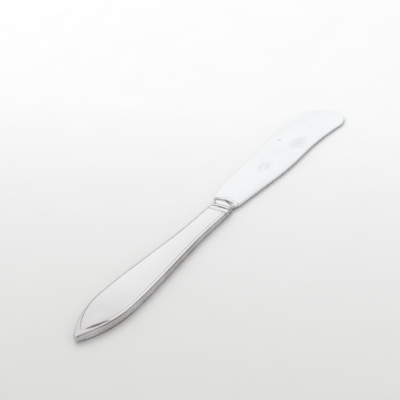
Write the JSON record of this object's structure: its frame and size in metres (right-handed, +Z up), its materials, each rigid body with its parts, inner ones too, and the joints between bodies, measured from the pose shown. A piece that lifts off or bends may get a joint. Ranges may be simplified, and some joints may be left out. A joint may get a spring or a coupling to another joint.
{
  "type": "butter knife",
  "caption": "Small table knife for spreading butter: a pointed hollow metal handle with bevelled panels, a moulded collar, a waisted neck and a flat paddle blade with a round end.",
  "frame": {"origin": "middle of the flat back panel of the handle, on which the knife lies, halfway between the handle's tip and its mouth", "axes": "+X along the knife from the handle's tip to the blade's tip, +Z up from the table, cutting edge towards -Y and spine towards +Y"},
  "size_m": [0.1559, 0.0201, 0.0037],
  "materials": {
    "blade_steel": "polished stainless steel, slightly worn",
    "handle_silver": "polished silver plate with fine wear",
    "solder": "dull hard solder, filed flush",
    "filling": "matt hardened resin cement"
  },
  "bodies": {
    "root": {"blade": "blade_steel", "handle_front_shell": "handle_silver", "handle_back_shell": "handle_silver", "seam_solder": "solder", "collar_band": "handle_silver", "collar_bead": "handle_silver", "mouth_cap": "handle_silver", "tang_cement": "filling"}
  },
  "joints": []
}
